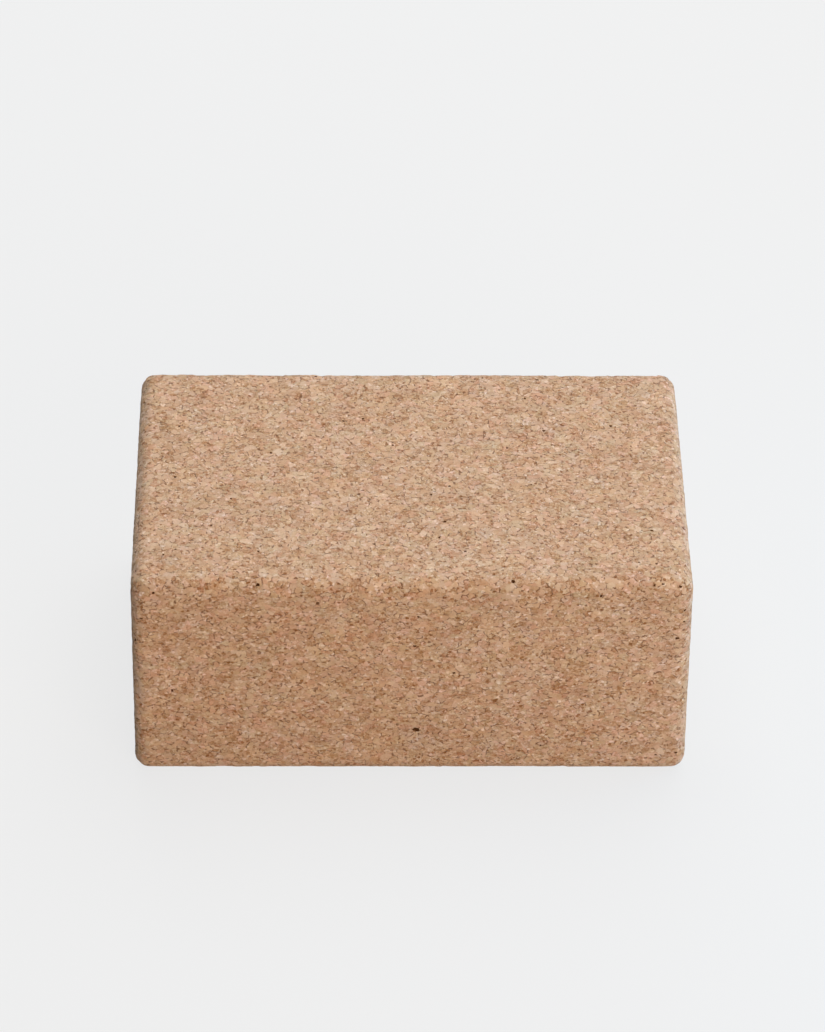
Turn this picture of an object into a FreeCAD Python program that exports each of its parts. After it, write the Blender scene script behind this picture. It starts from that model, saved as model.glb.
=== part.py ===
# Yoga block of agglomerated cork: a pressed body with coarse granules sliced flush in its surface.
# Millimetres, +Z up. The origin is the middle of the bottom face, and the front face looks along -Y.
import FreeCAD, Part
import Sketcher
import math
import os
import random

# Driving dimensions: sheet alias, millimetres, meaning
SIZES = (
    ("block_length", 228.6, "X, the longest side"),
    ("block_width", 152.4, "Y, front to back"),
    ("block_height", 98.0, "Z, the direction in which the cork was pressed"),
    ("edge_radius", 6.5, "round along every edge and corner"),
    ("rose_width", 7.2, "widest rose granule"),
    ("honey_width", 6.8, "widest honey granule"),
    ("cream_width", 6.2, "widest cream granule"),
    ("russet_width", 6.0, "widest russet granule"),
    ("olive_width", 5.4, "widest olive granule"),
    ("grey_width", 5.0, "widest grey granule"),
    ("pore_width", 1.7, "widest open pore"),
    ("front_pore_width", 3.4, "the one large pore on the front face"),
    ("front_pore_side", 2.2, "how far that pore lies to the right of the middle"),
    ("front_pore_rise", 22.9, "how high that pore lies above the base"),
    ("granule_gap", 1.2, "least room left between neighbours"),
    ("plain_middle", 16.0, "width kept plain in the middle of each face"),
    ("base_margin", 6.0, "height above the base below which no chip sits, so that the block rests flat"),
    ("overrun", 0.6, "how far outside the surface a chip starts before it is trimmed"),
)

# Coarse granules by the colour of their cork: node, alias of the widest one, how many
GRANULE_KINDS = (
    ("rose_granules", "rose_width", 88),
    ("honey_granules", "honey_width", 84),
    ("cream_granules", "cream_width", 80),
    ("russet_granules", "russet_width", 68),
    ("olive_granules", "olive_width", 60),
    ("grey_granules", "grey_width", 24),
)
PORE_COUNT = 120

# The same scatter is drawn every time
SCATTER_SEED = 20
TRIES_PER_PLACE = 60

# Shape of a chip, as shares of its own width
GRANULE_SIDES = 7
PORE_SIDES = 5
LEAST_WIDTH_SHARE = 0.6
LEAST_REACH_SHARE = 0.72
CORNER_WANDER_SHARE = 0.6
PRESSED_SHARE = 0.52
DEPTH_SHARE = 0.4
GRANULE_FOOT_SHARE = 0.7
PORE_FOOT_SHARE = 0.45

ALONG_X = FreeCAD.Vector(1, 0, 0)
UP = FreeCAD.Vector(0, 0, 1)
FRONT = FreeCAD.Vector(0, -1, 0)


def size_sheet(doc):
    """The spreadsheet that holds every driving dimension under its alias."""
    sheet = doc.addObject("Spreadsheet::Sheet", "sizes")
    for row, (alias, value, meaning) in enumerate(SIZES, start=1):
        sheet.set(f"A{row}", meaning)
        sheet.set(f"B{row}", str(value))
        sheet.setAlias(f"B{row}", alias)
    doc.recompute()
    return sheet


def block_outline(body, sheet):
    """A rectangle about the origin, as long and as wide as the block."""
    sketch = body.newObject("Sketcher::SketchObject", "block_outline")
    plane = next(p for p in body.Origin.OriginFeatures if p.Role == "XY_Plane")
    sketch.AttachmentSupport = (plane, [""])
    sketch.MapMode = "FlatFace"
    half_x = sheet.get("block_length") / 2
    half_y = sheet.get("block_width") / 2
    signs = ((-1, -1), (1, -1), (1, 1), (-1, 1))
    corners = [FreeCAD.Vector(x * half_x, y * half_y, 0) for x, y in signs]
    for start, end in zip(corners, corners[1:] + corners[:1]):
        sketch.addGeometry(Part.LineSegment(start, end))
    front, right, back, left = range(len(corners))
    first_end, last_end, origin = 1, 2, -1
    for edge, following in ((front, right), (right, back), (back, left), (left, front)):
        sketch.addConstraint(Sketcher.Constraint("Coincident", edge, last_end, following, first_end))
    for edge in (front, back):
        sketch.addConstraint(Sketcher.Constraint("Horizontal", edge))
    for edge in (right, left):
        sketch.addConstraint(Sketcher.Constraint("Vertical", edge))
    centred = Sketcher.Constraint("Symmetric", front, first_end, right, last_end, origin, first_end)
    sketch.addConstraint(centred)
    sides = (("DistanceX", front, half_x, "block_length"), ("DistanceY", right, half_y, "block_width"))
    for kind, edge, half, alias in sides:
        distance = Sketcher.Constraint(kind, edge, first_end, edge, last_end, 2 * half)
        number = sketch.addConstraint(distance)
        sketch.setExpression(f"Constraints[{number}]", f"sizes.{alias}")
    return sketch


def rounded_block(doc, sheet):
    """The block as it leaves the saw and the router: a pad with every edge rounded."""
    body = doc.addObject("PartDesign::Body", "rounded_block")
    pad = body.newObject("PartDesign::Pad", "block_pad")
    pad.Profile = block_outline(body, sheet)
    pad.setExpression("Length", "sizes.block_height")
    doc.recompute()
    rounding = body.newObject("PartDesign::Fillet", "edge_rounding")
    rounding.Base = (pad, [f"Edge{n}" for n in range(1, len(pad.Shape.Edges) + 1)])
    rounding.setExpression("Radius", "sizes.edge_radius")
    doc.recompute()
    return body


class Surface:
    """Places on the rounded block, and how much of it is already taken."""

    def __init__(self, sheet):
        self.rng = random.Random(SCATTER_SEED)
        self.gap = sheet.get("granule_gap")
        self.base_margin = sheet.get("base_margin")
        self.radius = sheet.get("edge_radius")
        self.half = [sheet.get(name) / 2 for name in ("block_length", "block_width", "block_height")]
        self.middle = UP * self.half[2]
        self.taken = []
        for axis, half in enumerate(self.half):
            for side in (-1, 1):
                offset = [0, 0, 0]
                offset[axis] = side * half
                self.take(self.middle + FreeCAD.Vector(*offset), sheet.get("plain_middle"))

    def take(self, place, width):
        self.taken.append((place, width))

    def has_room(self, place, width):
        """Whether a chip of this width clears all its neighbours by the gap."""
        return all(
            place.distanceToPoint(other) > (width + other_width) / 2 + self.gap
            for other, other_width in self.taken
        )

    def draw(self):
        """A random point of the surface with its outward normal, even over all six faces."""
        x, y, z = self.half
        axis = self.rng.choices((0, 1, 2), weights=(y * z, x * z, x * y))[0]
        point = [self.rng.uniform(-half, half) for half in self.half]
        point[axis] = self.rng.choice((-1, 1)) * self.half[axis]
        core = [
            max(self.radius - half, min(half - self.radius, value))
            for value, half in zip(point, self.half)
        ]
        normal = FreeCAD.Vector(*point) - FreeCAD.Vector(*core)
        normal.normalize()
        return self.middle + FreeCAD.Vector(*core) + normal * self.radius, normal

    def scatter(self, widest, count):
        """Up to count places above the base where there is room, with their normals and widths."""
        found = []
        for _ in range(count * TRIES_PER_PLACE):
            if len(found) == count:
                break
            width = widest * self.rng.uniform(LEAST_WIDTH_SHARE, 1)
            place, normal = self.draw()
            if place.z > self.base_margin and self.has_room(place, width):
                self.take(place, width)
                found.append((place, normal, width))
        return found


def chip(rng, place, normal, width, sides, foot_share, overrun):
    """A many-sided chip standing through the surface, tapering inwards and pressed flat along Z."""
    level = UP.cross(normal)
    along = level.normalize() if level.Length > 0 else ALONG_X
    across = normal.cross(along)
    flatness = PRESSED_SHARE + (1 - PRESSED_SHARE) * abs(normal.z)
    depth = DEPTH_SHARE * width
    rim_share = 1 + (1 - foot_share) * overrun / depth
    turn = rng.random()
    rim, foot = [], []
    for corner in range(sides):
        angle = 2 * math.pi * (corner + turn + CORNER_WANDER_SHARE * rng.random()) / sides
        reach = width / 2 * rng.uniform(LEAST_REACH_SHARE, 1)
        spoke = along * (reach * math.cos(angle)) + across * (reach * math.sin(angle) * flatness)
        rim.append(place + normal * overrun + spoke * rim_share)
        foot.append(place - normal * depth + spoke * foot_share)
    outlines = [rim, foot]
    for corner in range(sides):
        outlines.append([rim[corner - 1], rim[corner], foot[corner], foot[corner - 1]])
    faces = [Part.Face(Part.makePolygon(points + points[:1])) for points in outlines]
    solid = Part.Solid(Part.Shell(faces))
    if solid.Volume < 0:
        solid.reverse()
    return solid


def chips_object(doc, name, chips):
    """A document object holding raw chips, before they are trimmed to the block's surface."""
    raw = doc.addObject("Part::Feature", name)
    raw.Shape = Part.makeCompound(chips)
    return raw


def raw_granules(doc, sheet, surface, node, alias, count):
    """All the raw chips of one kind of granule."""
    overrun = sheet.get("overrun")
    places = surface.scatter(sheet.get(alias), count)
    chips = [
        chip(surface.rng, place, normal, width, GRANULE_SIDES, GRANULE_FOOT_SHARE, overrun)
        for place, normal, width in places
    ]
    return chips_object(doc, f"raw_{node}", chips)


def raw_pores(doc, sheet, surface, front_place):
    """The open pores between granules, with the large one on the front face."""
    overrun = sheet.get("overrun")
    places = surface.scatter(sheet.get("pore_width"), PORE_COUNT)
    places.append((front_place, FRONT, sheet.get("front_pore_width")))
    chips = [
        chip(surface.rng, place, normal, width, PORE_SIDES, PORE_FOOT_SHARE, overrun)
        for place, normal, width in places
    ]
    return chips_object(doc, "raw_pores", chips)


def trimmed_granules(doc, block, raw, node):
    """The part of each raw chip that the finished block keeps."""
    granules = doc.addObject("Part::Common", node)
    granules.Base = raw
    granules.Tool = block
    granules.Refine = False
    granules.Label = node
    return granules


def pressed_body(doc, block, raws):
    """The pressed mass of fine granules and binder, with a pocket for every coarse granule."""
    hollows = doc.addObject("Part::Compound", "hollows")
    hollows.Links = raws
    body = doc.addObject("Part::Cut", "cork_body")
    body.Base = block
    body.Tool = hollows
    body.Refine = False
    body.Label = "cork_body"
    return body


def export(doc, nodes):
    """Writes one STEP file for each node, once every object has come out sound."""
    for item in doc.Objects:
        if "Invalid" in item.State or "Error" in item.State:
            raise RuntimeError(f"{item.Label} did not recompute")
    os.makedirs("parts", exist_ok=True)
    for node in nodes:
        if node.Shape.isNull() or not node.Shape.isValid():
            raise RuntimeError(f"{node.Label} has no sound shape")
        node.Shape.exportStep(f"parts/{node.Label}.step")
        print(node.Label, len(node.Shape.Solids), "solids,", round(node.Shape.Volume), "mm3")


def main():
    doc = FreeCAD.newDocument("yoga_block")
    sheet = size_sheet(doc)
    block = rounded_block(doc, sheet)
    surface = Surface(sheet)
    front_side = FreeCAD.Vector(sheet.get("front_pore_side"), -surface.half[1], sheet.get("front_pore_rise"))
    surface.take(front_side, sheet.get("front_pore_width"))
    raws = [raw_granules(doc, sheet, surface, *kind) for kind in GRANULE_KINDS]
    pores = raw_pores(doc, sheet, surface, front_side)
    nodes = [pressed_body(doc, block, raws + [pores])]
    for raw, (node, alias, count) in zip(raws, GRANULE_KINDS):
        nodes.append(trimmed_granules(doc, block, raw, node))
    doc.recompute()
    export(doc, nodes)


main()
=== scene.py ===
import math

import bmesh
import bpy
import numpy as np
from mathutils import Matrix, Vector
from mathutils.bvhtree import BVHTree
from mathutils.kdtree import KDTree

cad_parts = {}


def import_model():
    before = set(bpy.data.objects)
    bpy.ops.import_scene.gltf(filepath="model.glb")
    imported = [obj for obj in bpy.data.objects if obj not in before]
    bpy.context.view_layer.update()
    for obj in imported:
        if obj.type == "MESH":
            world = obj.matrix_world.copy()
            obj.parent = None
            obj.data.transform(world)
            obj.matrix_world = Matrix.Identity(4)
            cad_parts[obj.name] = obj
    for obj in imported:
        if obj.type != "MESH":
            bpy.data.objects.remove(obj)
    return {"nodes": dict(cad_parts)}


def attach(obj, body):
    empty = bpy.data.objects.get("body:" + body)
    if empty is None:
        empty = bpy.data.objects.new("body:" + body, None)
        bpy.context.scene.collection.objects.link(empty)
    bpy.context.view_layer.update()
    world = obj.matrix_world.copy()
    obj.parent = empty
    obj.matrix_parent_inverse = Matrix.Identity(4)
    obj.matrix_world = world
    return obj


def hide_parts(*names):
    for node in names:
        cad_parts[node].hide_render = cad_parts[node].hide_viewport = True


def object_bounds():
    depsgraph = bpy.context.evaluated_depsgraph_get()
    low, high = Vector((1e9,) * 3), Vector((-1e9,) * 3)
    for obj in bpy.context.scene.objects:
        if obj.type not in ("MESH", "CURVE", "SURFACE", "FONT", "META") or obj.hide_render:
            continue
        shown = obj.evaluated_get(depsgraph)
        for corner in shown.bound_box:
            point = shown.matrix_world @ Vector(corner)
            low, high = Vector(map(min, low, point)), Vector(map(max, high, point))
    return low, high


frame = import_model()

CAD_LOW, CAD_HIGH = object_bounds()
BLOCK_HALF = np.array(CAD_HIGH - CAD_LOW) / 2
BLOCK_MIDDLE = np.array(CAD_HIGH + CAD_LOW) / 2
SEED = 7

# Skin mesh
SKIN_STEP = 0.00138
SKIN_JITTER_SHARE = 0.3
FLAT_TOLERANCE = 0.00001
PROBE = 0.0005
PORE_LEAST_DEPTH = 0.0003
PORE_SLOT = 1
PORE_REACH = 0.0016
PORE_CUTS = 3
SEAT_DROP = 0.00025

# Cork flakes, with widths across the pressing direction
PRESSED_SHARE = 0.8
COARSE_WIDTH = 0.0056
MEDIUM_WIDTH = 0.0026
FINE_WIDTH = 0.0011
MICRO_WIDTH = 0.00042
MICRO_DETAIL = 3.0
COARSE_WANDER_WIDTH = 0.0016
COARSE_WANDER = 0.0007
FINE_WANDER_WIDTH = 0.0009
FINE_WANDER = 0.0003
WHOLE_SHARE = 0.45
FLECK_SHARE = 0.065
SPECK_SHARE = 0.04

# Slits between medium flakes and seams between fine ones, and the levels of a noise where each sets in
SLIT_WIDTH = 0.00036
SEAM_WIDTH = 0.00026
SLIT_PATCH_WIDTH = 0.0018
SLIT_LEVELS = (0.51, 0.63)
SEAM_LEVELS = (0.54, 0.42)
SLIT_SHARE = 0.92

# Relief of the skin
PLATEAU_RISE = 0.00030
MEDIUM_LEVEL_SHARE = 0.4
SLIT_DROP = 0.00020
WAVE_WIDTH = 0.045
WAVE_RISE = 0.00030
CHIPPED_SHARE = 2.2
BUMP_RISE = 0.00026

# Photograph's frame and the camera that was fitted to the block's outline in it
FRAME_WIDTH_PX = 825
FRAME_HEIGHT_PX = 1032
FOCAL_PX = 4997.4
AIM_PX = (409.1, 568.0)
CAMERA_DEPTH = 2.1116
CAMERA_ELEVATION = math.radians(36.476)
CAMERA_AZIMUTH = math.radians(-1.058)
CAMERA_ROLL = math.radians(0.688)
SENSOR_MM = 36.0


class Nodes:
    """Short calls that add linked nodes to a material's or a modifier's tree."""

    def __init__(self, tree):
        self.tree = tree

    def add(self, kind, inputs=None, **settings):
        node = self.tree.nodes.new(kind)
        for name, value in settings.items():
            setattr(node, name, value)
        for key, value in (inputs or {}).items():
            if isinstance(value, bpy.types.NodeSocket):
                self.tree.links.new(value, node.inputs[key])
            else:
                node.inputs[key].default_value = value
        return node

    def math(self, operation, first, second=0.0, third=0.0, clamp=False):
        inputs = {0: first, 1: second, 2: third}
        return self.add("ShaderNodeMath", inputs, operation=operation, use_clamp=clamp).outputs[0]

    def weighted(self, terms, start=0.0):
        """The start and a sum over terms, each of them a value less its middle, times its strength."""
        total = start
        for value, middle, strength in terms:
            total = self.math("MULTIPLY_ADD", self.math("SUBTRACT", value, middle), strength, total)
        return total

    def vector(self, operation, first, second):
        return self.add("ShaderNodeVectorMath", {0: first, 1: second}, operation=operation).outputs[0]

    def scaled(self, vector, factor):
        node = self.add("ShaderNodeVectorMath", {0: vector, "Scale": factor}, operation="SCALE")
        return node.outputs[0]

    def blend(self, factor, first, second):
        """First where factor is 0, second where it is 1, for plain numbers."""
        return self.add("ShaderNodeMix", {0: factor, 2: first, 3: second}, data_type="FLOAT").outputs[0]

    def tint(self, factor, first, second, blend_type="MIX"):
        """The same for colours."""
        inputs = {0: factor, 6: first, 7: second}
        node = self.add("ShaderNodeMix", inputs, data_type="RGBA", blend_type=blend_type)
        return node.outputs[2]

    def ease(self, value, low, high, start=0.0, end=1.0):
        """A smooth step from start to end as value goes from low to high, which may lie below low."""
        inputs = {0: value, 1: low, 2: high, 3: start, 4: end}
        return self.add("ShaderNodeMapRange", inputs, interpolation_type="SMOOTHSTEP").outputs[0]

    def noise(self, position, width, detail=2.0):
        inputs = {"Vector": position, "Scale": 1 / width, "Detail": detail}
        return self.add("ShaderNodeTexNoise", inputs, noise_dimensions="3D")

    def cells(self, position, width, feature="F1"):
        inputs = {"Vector": position, "Scale": 1 / width}
        return self.add("ShaderNodeTexVoronoi", inputs, voronoi_dimensions="3D", feature=feature)

    def channels(self, colour):
        node = self.add("ShaderNodeSeparateXYZ", {0: colour})
        return node.outputs[0], node.outputs[1], node.outputs[2]


def wander(nodes, place, width, reach):
    """The same positions shifted by a noise, which makes the outlines of cells irregular."""
    shift = nodes.vector("SUBTRACT", nodes.noise(place, width).outputs["Color"], (0.5, 0.5, 0.5))
    return nodes.vector("ADD", place, nodes.scaled(shift, reach))


def tilt(nodes, place, cells, width):
    """The slope of each flake's own sanded face, as a height about zero."""
    reach = nodes.vector("SUBTRACT", place, cells.outputs["Position"])
    slope = nodes.vector("SUBTRACT", cells.outputs["Color"], (0.5, 0.5, 0.5))
    rise = nodes.add("ShaderNodeVectorMath", {0: reach, 1: slope}, operation="DOT_PRODUCT")
    return nodes.math("DIVIDE", rise.outputs["Value"], width)


def seam(nodes, place, cell_width, seam_width):
    """One along the borders of cells, falling to zero over the width of a seam."""
    border = nodes.cells(place, cell_width, "DISTANCE_TO_EDGE").outputs["Distance"]
    return nodes.ease(border, 0.0, seam_width / cell_width, 1.0, 0.0)


def cork_pattern(nodes, position):
    """Flakes of three sizes, some medium ones broken into fine ones, with the slits and seams between."""
    upright = nodes.vector("MULTIPLY", position, (1.0, 1.0, 1 / PRESSED_SHARE))
    place = wander(nodes, upright, COARSE_WANDER_WIDTH, COARSE_WANDER)
    fine_place = wander(nodes, upright, FINE_WANDER_WIDTH, FINE_WANDER)
    coarse_cells = nodes.cells(place, COARSE_WIDTH)
    medium_cells = nodes.cells(place, MEDIUM_WIDTH)
    fine_cells = nodes.cells(fine_place, FINE_WIDTH)
    patches = nodes.noise(upright, SLIT_PATCH_WIDTH).outputs["Fac"]
    grain = nodes.noise(upright, MICRO_WIDTH, MICRO_DETAIL).outputs["Fac"]
    slits = seam(nodes, place, MEDIUM_WIDTH, SLIT_WIDTH)
    seams = seam(nodes, fine_place, FINE_WIDTH, SEAM_WIDTH)
    medium = nodes.channels(medium_cells.outputs["Color"])
    broken = nodes.math("GREATER_THAN", medium[1], WHOLE_SHARE)
    seam_patches = nodes.ease(patches, *SEAM_LEVELS)
    return {
        "coarse": nodes.channels(coarse_cells.outputs["Color"]),
        "medium": medium,
        "fine": nodes.channels(fine_cells.outputs["Color"]),
        "broken": broken,
        "medium_tilt": tilt(nodes, place, medium_cells, MEDIUM_WIDTH),
        "fine_tilt": nodes.math("MULTIPLY", broken, tilt(nodes, fine_place, fine_cells, FINE_WIDTH)),
        "slit": nodes.math("MULTIPLY", slits, nodes.ease(patches, *SLIT_LEVELS, 0.0, SLIT_SHARE)),
        "seam": nodes.math("MULTIPLY", seams, nodes.math("MULTIPLY", broken, seam_patches)),
        "micro": nodes.math("SUBTRACT", grain, 0.5),
    }


def flat_reach(points):
    """How far the flat top runs along X, which gives the rounding of the edges."""
    top = points[:, 2] > CAD_HIGH.z - FLAT_TOLERANCE
    return np.abs(points[top, 0]).max()


def mesh_points(mesh):
    points = np.empty(len(mesh.vertices) * 3)
    mesh.vertices.foreach_get("co", points)
    return points.reshape(-1, 3)


BODY_POINTS = mesh_points(frame["nodes"]["cork_body"].data)
EDGE_RADIUS = BLOCK_HALF[0] - flat_reach(BODY_POINTS)
GRANULE_NODES = sorted(name for name in frame["nodes"] if name.endswith("_granules"))


def round_over(points):
    """The nearest points of the rounded block, with the outward normals there."""
    offset = points - BLOCK_MIDDLE
    core = np.clip(offset, EDGE_RADIUS - BLOCK_HALF, BLOCK_HALF - EDGE_RADIUS)
    normals = offset - core
    normals /= np.linalg.norm(normals, axis=1, keepdims=True)
    return BLOCK_MIDDLE + core + EDGE_RADIUS * normals, normals


def box_lattice(rng):
    """Points all over a box the size of the block, shifted at random along its faces, and their quads."""
    counts = np.round(2 * BLOCK_HALF / SKIN_STEP).astype(int)
    index = np.full(counts + 1, -1)
    steps = np.indices(index.shape)
    outer = np.zeros(index.shape, bool)
    for axis, count in enumerate(counts):
        outer |= (steps[axis] == 0) | (steps[axis] == count)
    cells = np.argwhere(outer)
    index[outer] = np.arange(len(cells))
    shifted = cells.astype(float)
    for axis, count in enumerate(counts):
        free = (cells[:, axis] > 0) & (cells[:, axis] < count)
        shifted[free, axis] += rng.uniform(-SKIN_JITTER_SHARE, SKIN_JITTER_SHARE, free.sum())
    points = BLOCK_MIDDLE + (2 * shifted / counts - 1) * BLOCK_HALF
    quads = []
    for axis, count in enumerate(counts):
        for end in (0, count):
            sheet = index.take(end, axis=axis)
            ring = np.stack([sheet[:-1, :-1], sheet[1:, :-1], sheet[1:, 1:], sheet[:-1, 1:]], axis=-1)
            faces_out = (end == count) != (axis == 1)
            quads.append(ring.reshape(-1, 4)[:, :: 1 if faces_out else -1])
    return points, np.concatenate(quads)


def tree_of(names):
    """A search tree over the meshes of some nodes of the frame."""
    points, faces = [], []
    for name in names:
        mesh = frame["nodes"][name].data
        start = len(points)
        points += [vertex.co.copy() for vertex in mesh.vertices]
        faces += [[start + corner for corner in face.vertices] for face in mesh.polygons]
    return BVHTree.FromPolygons(points, faces)


BODY_TREE = tree_of(["cork_body"])
GRANULE_TREE = tree_of(GRANULE_NODES)


def depth_under(tree, place, normal):
    """How far below the block's surface a ray from outside first meets a tree, or None."""
    start = Vector(place) + Vector(normal) * PROBE
    reach = tree.ray_cast(start, -Vector(normal), EDGE_RADIUS)[3]
    return None if reach is None else reach - PROBE


def is_granule(place, normal):
    depth = depth_under(GRANULE_TREE, place, normal)
    return depth is not None and depth < PORE_LEAST_DEPTH


def pore_depth(place, normal):
    """The depth of an open pore at this place, or zero."""
    depth = depth_under(BODY_TREE, place, normal)
    if depth is None or depth < PORE_LEAST_DEPTH or is_granule(place, normal):
        return 0.0
    return depth


def pore_places():
    """Places of the surface above the floors of the open pores."""
    places, normals = round_over(BODY_POINTS)
    deep = ((places - BODY_POINTS) * normals).sum(axis=1) > PORE_LEAST_DEPTH
    return [place for place, normal in zip(places[deep], normals[deep]) if not is_granule(place, normal)]


def refine_pores(mesh):
    """Divides the faces of the skin that lie about an open pore."""
    places = pore_places()
    tree = KDTree(len(places))
    for number, place in enumerate(places):
        tree.insert(place, number)
    tree.balance()
    bm = bmesh.new()
    bm.from_mesh(mesh)
    near = [face for face in bm.faces if tree.find(face.calc_center_median())[2] < PORE_REACH]
    edges = list({edge for face in near for edge in face.edges})
    bmesh.ops.subdivide_edges(bm, edges=edges, cuts=PORE_CUTS, use_grid_fill=True)
    bm.to_mesh(mesh)
    bm.free()


def relief_share(normals, fixed):
    """How much of the relief each point takes: more on edges, which chip in use, but not on those below."""
    mid_edge = math.sqrt(0.5)
    roundness = np.minimum((1 - np.abs(normals).max(axis=1)) / (1 - mid_edge), 1)
    worn = np.clip(1 + normals[:, 2] / mid_edge, 0, 1)
    return np.where(fixed, 0.0, 1 + CHIPPED_SHARE * worn * roundness)


def set_attribute(mesh, name, kind, field, values):
    attribute = mesh.attributes.new(name, kind, "POINT")
    attribute.data.foreach_set(field, np.ravel(values))


def relief_tree():
    """Raises each flake by its own height, sinks the slits between them and lets the faces wave a little."""
    tree = bpy.data.node_groups.new("cork_relief", "GeometryNodeTree")
    tree.interface.new_socket("Geometry", in_out="INPUT", socket_type="NodeSocketGeometry")
    tree.interface.new_socket("Geometry", in_out="OUTPUT", socket_type="NodeSocketGeometry")
    nodes = Nodes(tree)
    start = nodes.add("NodeGroupInput")
    position = nodes.add("GeometryNodeInputPosition").outputs[0]
    pattern = cork_pattern(nodes, position)
    level = nodes.blend(MEDIUM_LEVEL_SHARE, pattern["coarse"][2], pattern["medium"][2])
    plateau = nodes.math("MULTIPLY", nodes.math("SUBTRACT", level, 0.5), PLATEAU_RISE)
    slit = nodes.math("MULTIPLY", pattern["slit"], -SLIT_DROP)
    swell = nodes.math("SUBTRACT", nodes.noise(position, WAVE_WIDTH).outputs["Fac"], 0.5)
    wave = nodes.math("MULTIPLY", swell, WAVE_RISE)
    rise = nodes.math("ADD", nodes.math("ADD", plateau, slit), wave)
    names = {name: nodes.add("GeometryNodeInputNamedAttribute", {"Name": name}, data_type=kind)
             for name, kind in (("outward", "FLOAT_VECTOR"), ("free", "FLOAT"))}
    free_rise = nodes.math("MULTIPLY", rise, names["free"].outputs["Attribute"])
    offset = nodes.scaled(names["outward"].outputs["Attribute"], free_rise)
    moved = nodes.add("GeometryNodeSetPosition", {"Geometry": start.outputs[0], "Offset": offset})
    nodes.add("NodeGroupOutput", {0: moved.outputs[0]})
    return tree


def cork_skin():
    """The sanded surface of the pressed body, down into its open pores and under its coarse granules."""
    points, quads = box_lattice(np.random.default_rng(SEED))
    mesh = bpy.data.meshes.new("cork_skin")
    mesh.from_pydata(round_over(points)[0], [], quads)
    refine_pores(mesh)
    places, normals = round_over(mesh_points(mesh))
    drops = np.array([pore_depth(place, normal) for place, normal in zip(places, normals)])
    seats = np.array([is_granule(place, normal) for place, normal in zip(places, normals)])
    sunk = places - normals * (drops + SEAT_DROP * seats)[:, None]
    mesh.vertices.foreach_set("co", sunk.ravel())
    # The faces in the open pores take the second material, which paints shade into them
    open_faces = [drops[list(face.vertices)].max() > 0 for face in mesh.polygons]
    mesh.polygons.foreach_set("material_index", np.array(open_faces, int) * PORE_SLOT)
    set_attribute(mesh, "free", "FLOAT", "value", relief_share(normals, seats | (drops > 0)))
    set_attribute(mesh, "outward", "FLOAT_VECTOR", "vector", normals)
    mesh.shade_smooth()
    skin = bpy.data.objects.new("cork_skin", mesh)
    bpy.context.scene.collection.objects.link(skin)
    relief = skin.modifiers.new("relief", "NODES")
    relief.node_group = relief_tree()
    depsgraph = bpy.context.evaluated_depsgraph_get()
    shaped = bpy.data.meshes.new_from_object(
        skin.evaluated_get(depsgraph), preserve_all_data_layers=True, depsgraph=depsgraph
    )
    skin.modifiers.clear()
    skin.data = shaped
    return skin


def srgb(red, green, blue):
    """A colour given in display values from 0 to 255, as the shader takes it."""
    def linear(value):
        share = value / 255
        return share / 12.92 if share <= 0.04045 else ((share + 0.055) / 1.055) ** 2.4
    return (linear(red), linear(green), linear(blue), 1.0)


# Cork tones from dark to pale
CORK_TONES = (
    (0.00, srgb(122, 70, 28)),
    (0.25, srgb(160, 111, 72)),
    (0.50, srgb(191, 149, 115)),
    (0.75, srgb(211, 175, 147)),
    (1.00, srgb(228, 198, 175)),
)
MEAN_TONE = 0.54
FLECK_TONE = 0.24
SPECK_TONE = -0.30
# Painted shade for the slits, which are also real grooves in the relief; the pores' painted shade is mottled
# with it
SLIT_SHADE_COLOUR = srgb(112, 66, 32)
# Painted shade for the inside of the open pores, which are real pits in the skin
PORE_SHADE_COLOUR = srgb(22, 13, 7)
PORE_SPECULAR = 0.1
PORE_ROUGHNESS = (0.85, 1.0)
CORK_ROUGHNESS = (0.66, 0.84)

# Changes of hue, slowly over the block and from flake to flake
DRIFT_WIDTH = 0.0090
WARM_DRIFT_SHARE = 0.12
GREEN_DRIFT_SHARE = 0.085
WARM_FLAKE_SHARE = 0.05
GREEN_FLAKE_SHARE = 0.038

# Soft shine
SHEEN_SHARE = 0.45
SHEEN_ROUGHNESS = 0.5
SHEEN_COLOUR = srgb(234, 204, 178)

# Colours of the coarse granules
MEAN_COLOUR = srgb(189, 148, 116)
GRANULE_COLOURS = {
    "rose_granules": srgb(192, 147, 117),
    "honey_granules": srgb(190, 150, 116),
    "cream_granules": srgb(193, 153, 121),
    "russet_granules": srgb(186, 144, 112),
    "olive_granules": srgb(184, 146, 112),
    "grey_granules": srgb(187, 148, 118),
}


def new_material(name):
    material = bpy.data.materials.new(name)
    material.use_nodes = True
    material.node_tree.nodes.clear()
    return material, Nodes(material.node_tree)


def colour_ramp(nodes, value, stops, interpolation="LINEAR"):
    node = nodes.add("ShaderNodeValToRGB", {0: value})
    ramp = node.color_ramp
    ramp.interpolation = interpolation
    while len(ramp.elements) < len(stops):
        ramp.elements.new(1.0)
    for element, (position, colour) in zip(ramp.elements, stops):
        element.position = position
        element.color = colour
    return node.outputs[0]


def tint_of(name):
    """How a kind of granule differs from the mean colour, as a factor for each channel."""
    colour = GRANULE_COLOURS[name]
    return tuple(own / mean for own, mean in zip(colour, MEAN_COLOUR))


def mixed_tints(nodes, value):
    """The tint of one kind of granule or another, by a random value."""
    names = sorted(GRANULE_COLOURS)
    stops = [(number / len(names), tint_of(name)) for number, name in enumerate(names)]
    return colour_ramp(nodes, value, stops, "CONSTANT")


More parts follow.
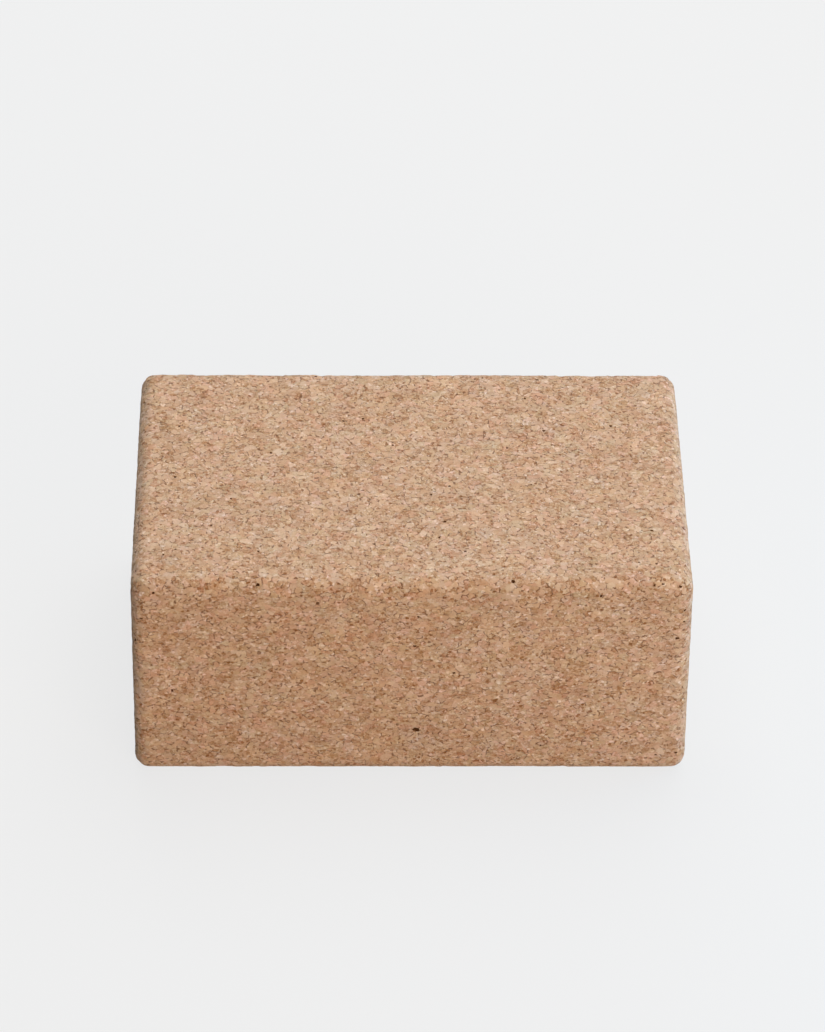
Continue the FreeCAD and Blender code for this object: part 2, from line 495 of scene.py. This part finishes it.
def hue_drift(nodes, position, pattern):
    """How the hue changes from one coarse flake to the next and slowly over the block, for each channel."""
    slow = nodes.channels(nodes.noise(position, DRIFT_WIDTH).outputs["Color"])
    flake = pattern["coarse"]
    warm = nodes.weighted(((slow[0], 0.5, WARM_DRIFT_SHARE), (flake[0], 0.5, WARM_FLAKE_SHARE)))
    green = nodes.weighted(((slow[1], 0.5, GREEN_DRIFT_SHARE), (flake[2], 0.5, GREEN_FLAKE_SHARE)))
    factors = (nodes.math("ADD", 1.0, warm), nodes.math("ADD", 1.0, green), nodes.math("SUBTRACT", 1.0, warm))
    return nodes.add("ShaderNodeCombineXYZ", dict(enumerate(factors))).outputs[0]


def fine_tone(nodes, pattern):
    """The tone of the flakes, around one half, with painted shade along the seams between fine flakes."""
    terms = (
        (pattern["coarse"][1], 0.5, 0.10),
        (pattern["medium"][0], 0.5, 0.22),
        (pattern["fine"][0], 0.5, nodes.blend(pattern["broken"], 0.08, 0.33)),
        (pattern["micro"], 0.0, 0.34),
        # Painted shade along the seams, which are also shallow grooves in the bump
        (pattern["seam"], 0.0, -0.18),
    )
    tone = nodes.weighted(terms, MEAN_TONE)
    fleck = nodes.math("GREATER_THAN", pattern["fine"][2], 1 - FLECK_SHARE)
    speck = nodes.math("LESS_THAN", pattern["fine"][2], SPECK_SHARE)
    tone = nodes.math("MULTIPLY_ADD", fleck, FLECK_TONE, tone)
    return nodes.math("MULTIPLY_ADD", speck, SPECK_TONE, tone, clamp=True)


def fine_relief(nodes, pattern):
    """The steps, slopes and grooves of the flakes, as a height."""
    return nodes.weighted((
        (pattern["micro"], 0.0, 0.6),
        (pattern["slit"], 0.0, -0.8),
        (pattern["seam"], 0.0, -0.3),
        (pattern["medium"][2], 0.0, 0.5),
        (nodes.math("MULTIPLY", pattern["broken"], pattern["fine"][1]), 0.0, 0.5),
        (pattern["medium_tilt"], 0.0, 1.2),
        (pattern["fine_tilt"], 0.0, 0.8),
    ))


def cork_material(name, own_tint=None):
    """Pressed cork of flakes and slits, with painted shade in the slits, in one tint of its own or in the
    mixed tints of all the granules.
    """
    material, nodes = new_material(name)
    position = nodes.add("ShaderNodeTexCoord").outputs["Object"]
    pattern = cork_pattern(nodes, position)
    colour = colour_ramp(nodes, fine_tone(nodes, pattern), CORK_TONES)
    tint = own_tint or mixed_tints(nodes, pattern["medium"][2])
    for factor in (tint, hue_drift(nodes, position, pattern)):
        colour = nodes.tint(1.0, colour, factor, "MULTIPLY")
    # Painted shade in the slits, over the grooves that the relief and bump sink there
    colour = nodes.tint(pattern["slit"], colour, SLIT_SHADE_COLOUR)
    bump = nodes.add("ShaderNodeBump", {
        "Height": fine_relief(nodes, pattern),
        "Distance": BUMP_RISE,
        "Strength": 1.0,
    })
    shader = nodes.add("ShaderNodeBsdfPrincipled", {
        "Base Color": colour,
        "Roughness": nodes.ease(pattern["medium"][1], 0.0, 1.0, *CORK_ROUGHNESS),
        "Normal": bump.outputs[0],
        "Sheen Weight": SHEEN_SHARE,
        "Sheen Roughness": SHEEN_ROUGHNESS,
        "Sheen Tint": SHEEN_COLOUR,
        "Specular Tint": SHEEN_COLOUR,
    })
    nodes.add("ShaderNodeOutputMaterial", {0: shader.outputs[0]})
    return material


def pore_shade_material():
    """Painted shade for the inside of an open pore: dark, rough and dull, mottled with the slits' painted
    shade.
    """
    material, nodes = new_material("open_pore_shade")
    position = nodes.add("ShaderNodeTexCoord").outputs["Object"]
    grain = nodes.noise(position, MICRO_WIDTH).outputs["Fac"]
    shader = nodes.add("ShaderNodeBsdfPrincipled", {
        "Base Color": nodes.tint(grain, PORE_SHADE_COLOUR, SLIT_SHADE_COLOUR),
        "Roughness": nodes.ease(grain, 0.0, 1.0, *PORE_ROUGHNESS),
        "Specular IOR Level": PORE_SPECULAR,
    })
    nodes.add("ShaderNodeOutputMaterial", {0: shader.outputs[0]})
    return material


# Stage
FLOOR_HALF = 6.0
BACKDROP_COLOUR = srgb(239, 239, 239)
FLOOR_COLOUR = srgb(182, 180, 178)
FLOOR_GLOW = 1.10
FLOOR_GLOW_SHARE = 0.8


def floor():
    """A wide pale floor that keeps a soft shadow and otherwise shows as one even tone."""
    mesh = bpy.data.meshes.new("floor")
    corners = [(x * FLOOR_HALF, y * FLOOR_HALF, CAD_LOW.z) for x, y in ((-1, -1), (1, -1), (1, 1), (-1, 1))]
    mesh.from_pydata(corners, [], [range(len(corners))])
    plane = bpy.data.objects.new("floor", mesh)
    bpy.context.scene.collection.objects.link(plane)
    material, nodes = new_material("floor_paint")
    path = nodes.add("ShaderNodeLightPath")
    paint = nodes.add("ShaderNodeBsdfDiffuse", {"Color": FLOOR_COLOUR})
    glow = nodes.add("ShaderNodeEmission", {"Color": BACKDROP_COLOUR, "Strength": FLOOR_GLOW})
    share = nodes.math("MULTIPLY", path.outputs["Is Camera Ray"], FLOOR_GLOW_SHARE)
    shader = nodes.add("ShaderNodeMixShader", {0: share, 1: paint.outputs[0], 2: glow.outputs[0]})
    nodes.add("ShaderNodeOutputMaterial", {0: shader.outputs[0]})
    mesh.materials.append(material)


def add_softbox(name, place, side, power, colour):
    """A square lamp turned to the block."""
    light = bpy.data.lights.new(name, "AREA")
    light.shape = "SQUARE"
    light.size = side
    light.energy = power
    light.color = colour
    lamp = bpy.data.objects.new(name, light)
    lamp.location = place
    lamp.rotation_euler = (Vector(BLOCK_MIDDLE) - Vector(place)).to_track_quat("-Z", "Y").to_euler()
    bpy.context.scene.collection.objects.link(lamp)


# Softboxes: name, place, side, power, colour
SOFTBOXES = (
    ("overhead", (0.25, 0.75, 1.7), 1.8, 34.0, (0.99, 0.975, 0.94)),
    ("front", (0.8, -2.0, 0.8), 1.6, 37.0, (1.10, 0.90, 0.70)),
    ("window", (0.2, 1.9, 1.0), 1.6, 11.0, (0.94, 1.0, 1.06)),
    ("side", (0.30, -0.25, 0.10), 0.12, 0.22, (0.36, 0.66, 1.0)),
    ("rim", (0.45, 0.05, 0.13), 0.15, 0.55, (0.05, 0.50, 1.0)),
)


def lights():
    for softbox in SOFTBOXES:
        add_softbox(*softbox)


AMBIENT_COLOUR = (0.55, 0.95, 1.35, 1.0)
AMBIENT_LEFT = 0.06
AMBIENT_RIGHT = 0.38


def world():
    """Weak light all round, fading to the left, and the backdrop's tone past the floor."""
    studio = bpy.data.worlds.new("studio")
    studio.use_nodes = True
    studio.node_tree.nodes.clear()
    nodes = Nodes(studio.node_tree)
    path = nodes.add("ShaderNodeLightPath")
    direction = nodes.channels(nodes.add("ShaderNodeTexCoord").outputs["Generated"])
    strength = nodes.ease(direction[0], -1.0, 1.0, AMBIENT_LEFT, AMBIENT_RIGHT)
    ambient = nodes.add("ShaderNodeBackground", {"Color": AMBIENT_COLOUR, "Strength": strength})
    backdrop = nodes.add("ShaderNodeBackground", {"Color": BACKDROP_COLOUR, "Strength": 1.0})
    inputs = {0: path.outputs["Is Camera Ray"], 1: ambient.outputs[0], 2: backdrop.outputs[0]}
    shader = nodes.add("ShaderNodeMixShader", inputs)
    nodes.add("ShaderNodeOutputWorld", {0: shader.outputs[0]})
    bpy.context.scene.world = studio


def photo_camera():
    """The camera that puts the block where the photograph shows it."""
    azimuth, elevation = CAMERA_AZIMUTH, CAMERA_ELEVATION
    back = Vector((
        math.sin(azimuth) * math.cos(elevation),
        -math.cos(azimuth) * math.cos(elevation),
        math.sin(elevation),
    ))
    level = Vector((math.cos(azimuth), math.sin(azimuth), 0.0))
    upright = back.cross(level)
    right = math.cos(CAMERA_ROLL) * level + math.sin(CAMERA_ROLL) * upright
    up = math.cos(CAMERA_ROLL) * upright - math.sin(CAMERA_ROLL) * level
    side = (AIM_PX[0] - FRAME_WIDTH_PX / 2) * CAMERA_DEPTH / FOCAL_PX
    drop = (AIM_PX[1] - FRAME_HEIGHT_PX / 2) * CAMERA_DEPTH / FOCAL_PX
    place = Vector(BLOCK_MIDDLE) - right * side + up * drop + back * CAMERA_DEPTH
    data = bpy.data.cameras.new("photo_camera")
    data.sensor_width = SENSOR_MM
    data.lens = FOCAL_PX * SENSOR_MM / FRAME_HEIGHT_PX
    camera = bpy.data.objects.new("photo_camera", data)
    camera.matrix_world = Matrix.Translation(place) @ Matrix((right, up, back)).transposed().to_4x4()
    bpy.context.scene.collection.objects.link(camera)
    bpy.context.scene.camera = camera


def dress_block():
    skin = cork_skin()
    for material in (cork_material("pressed_cork"), pore_shade_material()):
        skin.data.materials.append(material)
    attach(skin, "root")
    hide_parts("cork_body")
    for name in GRANULE_NODES:
        granules = frame["nodes"][name]
        granules.data.materials.clear()
        granules.data.materials.append(cork_material(name, tint_of(name)))


dress_block()
floor()
lights()
world()
photo_camera()
bpy.context.scene.view_settings.view_transform = "Standard"
